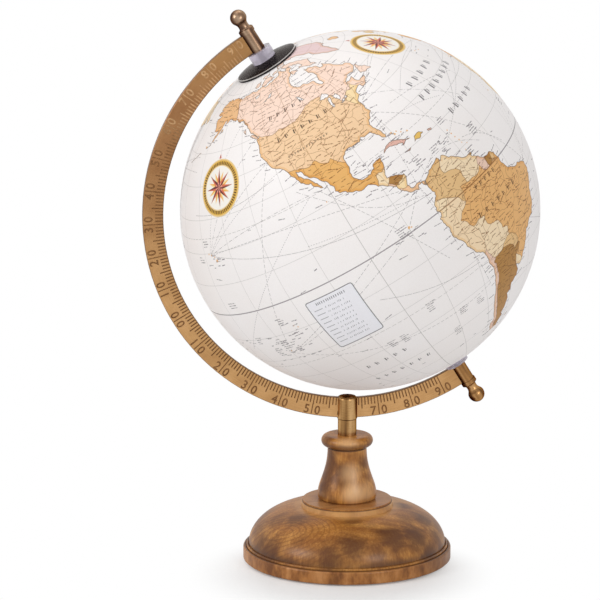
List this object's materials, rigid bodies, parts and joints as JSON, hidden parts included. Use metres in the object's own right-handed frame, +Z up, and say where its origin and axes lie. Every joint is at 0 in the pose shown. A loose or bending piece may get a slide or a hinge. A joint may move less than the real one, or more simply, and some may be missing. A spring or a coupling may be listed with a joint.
{
  "type": "desktop globe",
  "caption": "Desktop globe that turns on a tilted axle in a graduated brass meridian arc, on a turned wooden stand with a domed base.",
  "frame": {"origin": "centre of the felt foot's underside, on the stand's upright axis", "axes": "+Z up; the meridian arc lies in the XZ plane, the north end of the axis leans towards -X, and the numbered side of the arc faces -Y"},
  "size_m": [0.2247, 0.203, 0.319],
  "materials": {
    "turned_wood": "turned hardwood, stained brown, satin lacquer",
    "felt": "pressed felt",
    "steel": "zinc plated",
    "antique_brass": "antique brass, satin",
    "arc_brass": "antique brass, brushed, with a dark engraved scale",
    "clear_plastic": "clear moulded plastic",
    "shell_plastic": "plain moulded shell",
    "map_paper": "printed paper, gloss lacquer",
    "bush_plastic": "white moulded plastic",
    "cap_metal": "black polished plating"
  },
  "bodies": {
    "stand": {"base_dome": "turned_wood", "neck_column": "turned_wood", "base_felt": "felt", "tie_bolt": "steel", "tie_washer": "steel", "post_sleeve": "antique_brass", "post_fork": "antique_brass", "clamp_screw": "steel", "meridian_arc": "arc_brass", "north_boss": "antique_brass", "south_boss": "antique_brass", "north_finial": "antique_brass", "south_finial": "antique_brass", "axle_rod": "steel", "north_spacer": "clear_plastic", "south_spacer": "clear_plastic"},
    "globe": {"north_hemisphere": "shell_plastic", "south_hemisphere": "shell_plastic", "equator_band": "shell_plastic", "north_map_skin": "map_paper", "south_map_skin": "map_paper", "north_bush": "bush_plastic", "south_bush": "bush_plastic", "north_pole_cap": "cap_metal"}
  },
  "joints": [
    {"name": "globe_spin", "type": "hinge", "parent": "stand", "child": "globe", "pos_m": [0.00713, 0, 0.20303], "axis": [-0.5255, 0, 0.8508], "continuous": true}
  ]
}
